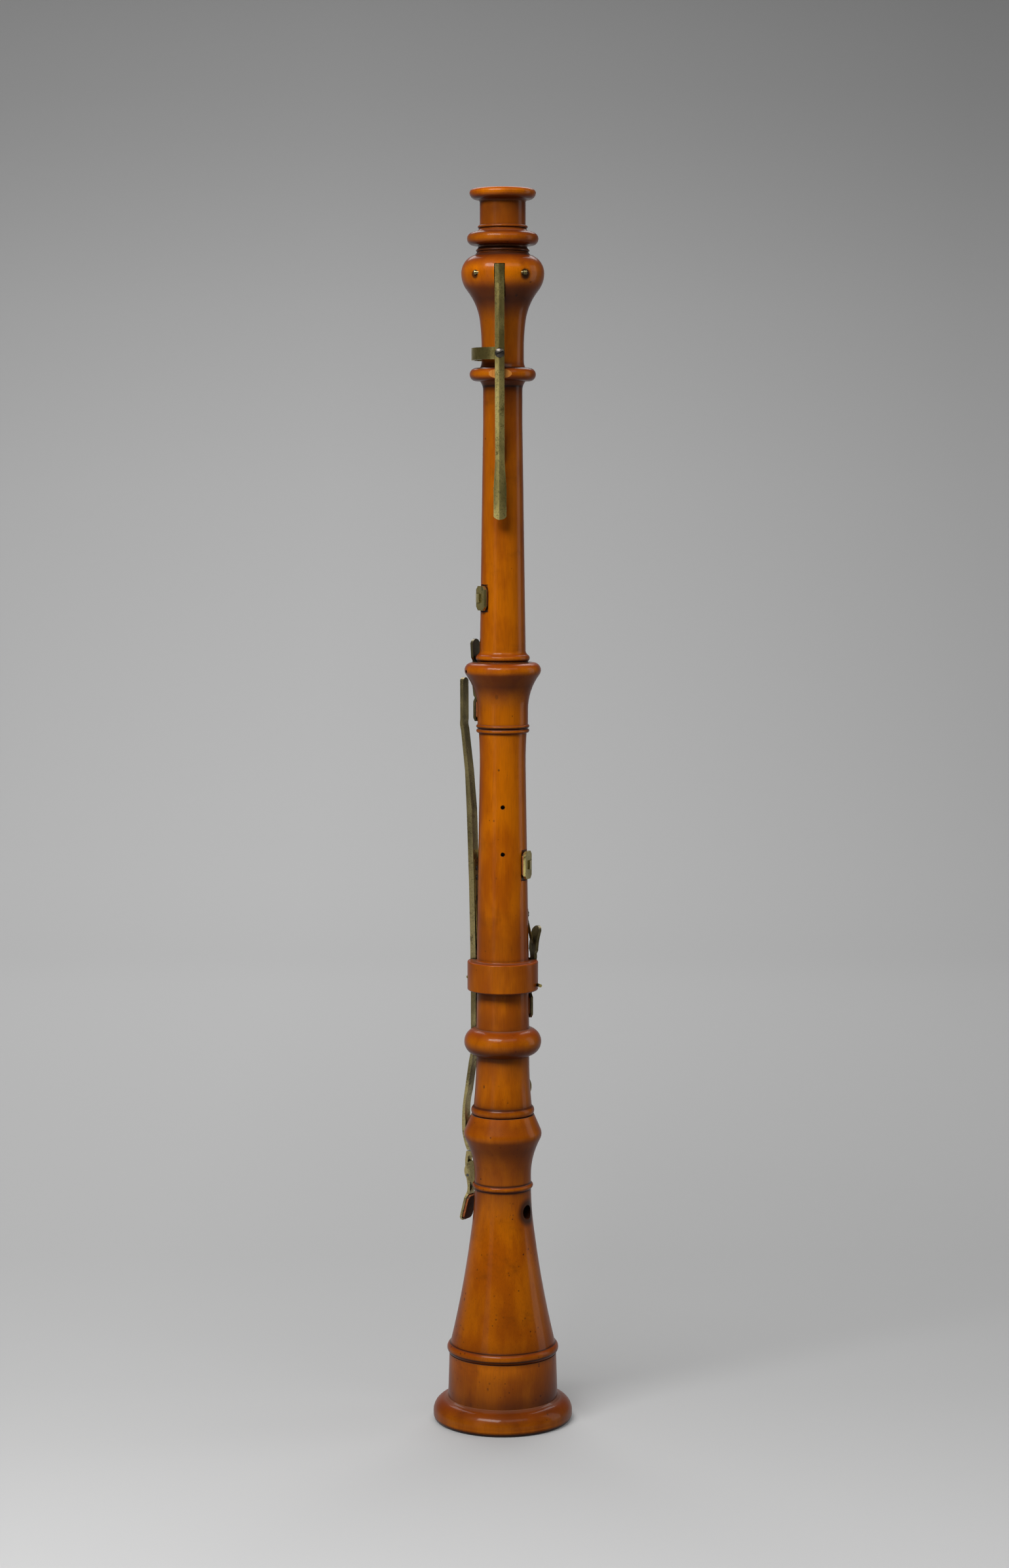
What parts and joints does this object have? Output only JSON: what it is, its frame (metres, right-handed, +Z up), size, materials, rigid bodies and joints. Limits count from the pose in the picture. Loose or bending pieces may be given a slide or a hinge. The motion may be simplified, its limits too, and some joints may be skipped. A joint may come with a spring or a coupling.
{
  "type": "oboe",
  "caption": "Jointed woodwind of turned boxwood with a flared bell, sprung brass lever keys hung on pins, leather pads and open finger holes.",
  "frame": {"origin": "centre of the bell's rim, on the surface the bell stands on", "axes": "+Z up the bore towards the reed well, -Y the thumb side with the octave key, +X to the right of it"},
  "size_m": [0.0642, 0.0642, 0.562],
  "materials": {
    "boxwood": "stained and polished",
    "key_brass": "aged, hand filed",
    "spring_brass": "hammered strip",
    "pin_steel": "worn bright",
    "pad_leather": "soft",
    "lapping_thread": "waxed"
  },
  "bodies": {
    "bell": {"bell": "boxwood", "bell_key_saddle": "key_brass", "bell_key_saddle_screws": "pin_steel", "bell_key_pivot_pin": "pin_steel", "bell_key_spring": "spring_brass"},
    "bell_key": {"bell_key": "key_brass", "bell_key_pad": "pad_leather"},
    "lower_joint": {"lower_joint": "boxwood", "lower_tenon_lapping": "lapping_thread", "gsharp_pivot_pin": "pin_steel", "f_saddle": "key_brass", "f_saddle_screws": "pin_steel", "f_pivot_pin": "pin_steel", "eflat_pivot_pin": "pin_steel", "eflat_spring": "spring_brass", "eflat_spring_screw": "pin_steel", "c_touch_pivot_pin": "pin_steel", "c_flap_pivot_pin": "pin_steel", "low_b_pivot_pin": "pin_steel"},
    "upper_tenon_lapping": {"upper_tenon_lapping": "lapping_thread"},
    "upper_joint": {"upper_joint": "boxwood", "octave_key_pivot_screw": "pin_steel", "bflat_saddle": "key_brass", "bflat_saddle_screws": "pin_steel", "bflat_pivot_pin": "pin_steel"},
    "octave_key": {"octave_key_lever": "key_brass", "octave_key_band": "key_brass", "octave_key_screw": "pin_steel", "octave_key_pad": "pad_leather", "octave_key_spring": "spring_brass"},
    "bflat_key": {"bflat_key": "key_brass", "bflat_pad": "pad_leather", "bflat_spring": "spring_brass"},
    "gsharp_key": {"gsharp_key": "key_brass", "gsharp_pad": "pad_leather", "gsharp_spring": "spring_brass"},
    "f_key": {"f_key": "key_brass", "f_pad": "pad_leather", "f_spring": "spring_brass"},
    "eflat_key": {"eflat_key": "key_brass", "eflat_pad": "pad_leather"},
    "c_touch_key": {"c_touch_key": "key_brass", "c_touch_spring": "spring_brass"},
    "c_flap_key": {"c_flap_key": "key_brass", "c_pad": "pad_leather", "c_flap_spring": "spring_brass"},
    "low_b_key": {"low_b_key": "key_brass", "low_b_spring": "spring_brass", "low_b_spring_rivets": "pin_steel"}
  },
  "joints": [
    {"name": "bell_pull", "type": "slide", "parent": "bell", "child": "lower_joint", "axis": [0, 0, 1], "range_m": [0, 0.0005]},
    {"name": "upper_joint_pull", "type": "slide", "parent": "lower_joint", "child": "upper_tenon_lapping", "axis": [0, 0, 1], "range_m": [0, 0.017]},
    {"name": "upper_joint_twist", "type": "hinge", "parent": "upper_tenon_lapping", "child": "upper_joint", "pos_m": [0, 0, 0.3419], "axis": [0, 0, 1], "continuous": true},
    {"name": "octave_key_press", "type": "hinge", "parent": "upper_joint", "child": "octave_key", "pos_m": [-0.0012, -0.01525, 0.5242], "axis": [0.9969, -0.0785, 0], "range_deg": [0, 2], "stiffness_Nm_per_rad": 0.05, "springref_deg": -11.46, "deforming": ["octave_key_spring"]},
    {"name": "bflat_key_press", "type": "hinge", "parent": "upper_joint", "child": "bflat_key", "pos_m": [-0.00932, 0.00839, 0.3797], "axis": [0, 0, -1], "range_deg": [0, 8], "stiffness_Nm_per_rad": 0.02, "springref_deg": -20.05, "deforming": ["bflat_spring"]},
    {"name": "gsharp_key_press", "type": "hinge", "parent": "lower_joint", "child": "gsharp_key", "pos_m": [-0.01169, 0.00545, 0.3466], "axis": [0.4226, 0.9063, 0], "range_deg": [0, 3.5], "stiffness_Nm_per_rad": 0.02, "springref_deg": -20.05, "deforming": ["gsharp_spring"]},
    {"name": "f_key_press", "type": "hinge", "parent": "lower_joint", "child": "f_key", "pos_m": [0.00897, 0.01032, 0.2586], "axis": [0, 0, 1], "range_deg": [0, 8], "stiffness_Nm_per_rad": 0.02, "springref_deg": -20.05, "deforming": ["f_spring"]},
    {"name": "eflat_key_press", "type": "hinge", "parent": "lower_joint", "child": "eflat_key", "pos_m": [0.01252, 0.00506, 0.2034], "axis": [0.3746, -0.9272, 0], "range_deg": [0, 8], "stiffness_Nm_per_rad": 0.02, "springref_deg": -20.05, "deforming": ["eflat_spring"]},
    {"name": "c_key_press", "type": "hinge", "parent": "lower_joint", "child": "c_touch_key", "pos_m": [0.00571, 0.01224, 0.2105], "axis": [0.9063, -0.4226, 0], "range_deg": [0, 4], "stiffness_Nm_per_rad": 0.03, "springref_deg": -17.19, "deforming": ["c_touch_spring"]},
    {"name": "c_flap_close", "type": "hinge", "parent": "lower_joint", "child": "c_flap_key", "pos_m": [0.00617, 0.01323, 0.1768], "axis": [-0.9063, 0.4226, 0], "range_deg": [0, 4.65], "deforming": ["c_flap_spring"]},
    {"name": "low_b_key_press", "type": "hinge", "parent": "lower_joint", "child": "low_b_key", "pos_m": [-0.01181, 0.00654, 0.2066], "axis": [0.4848, 0.8746, 0], "range_deg": [0, 1.45], "stiffness_Nm_per_rad": 0.08, "springref_deg": -17.19, "deforming": ["low_b_spring"]},
    {"name": "bell_key_close", "type": "hinge", "parent": "bell", "child": "bell_key", "pos_m": [-0.01478, 0.00819, 0.113], "axis": [-0.4848, -0.8746, 0], "range_deg": [0, 14.5], "deforming": ["bell_key_spring"]}
  ],
  "couplings": [
    {"joint": "c_flap_close", "follows": "c_key_press", "ratio": 1.1625},
    {"joint": "bell_key_close", "follows": "low_b_key_press", "ratio": 10}
  ]
}
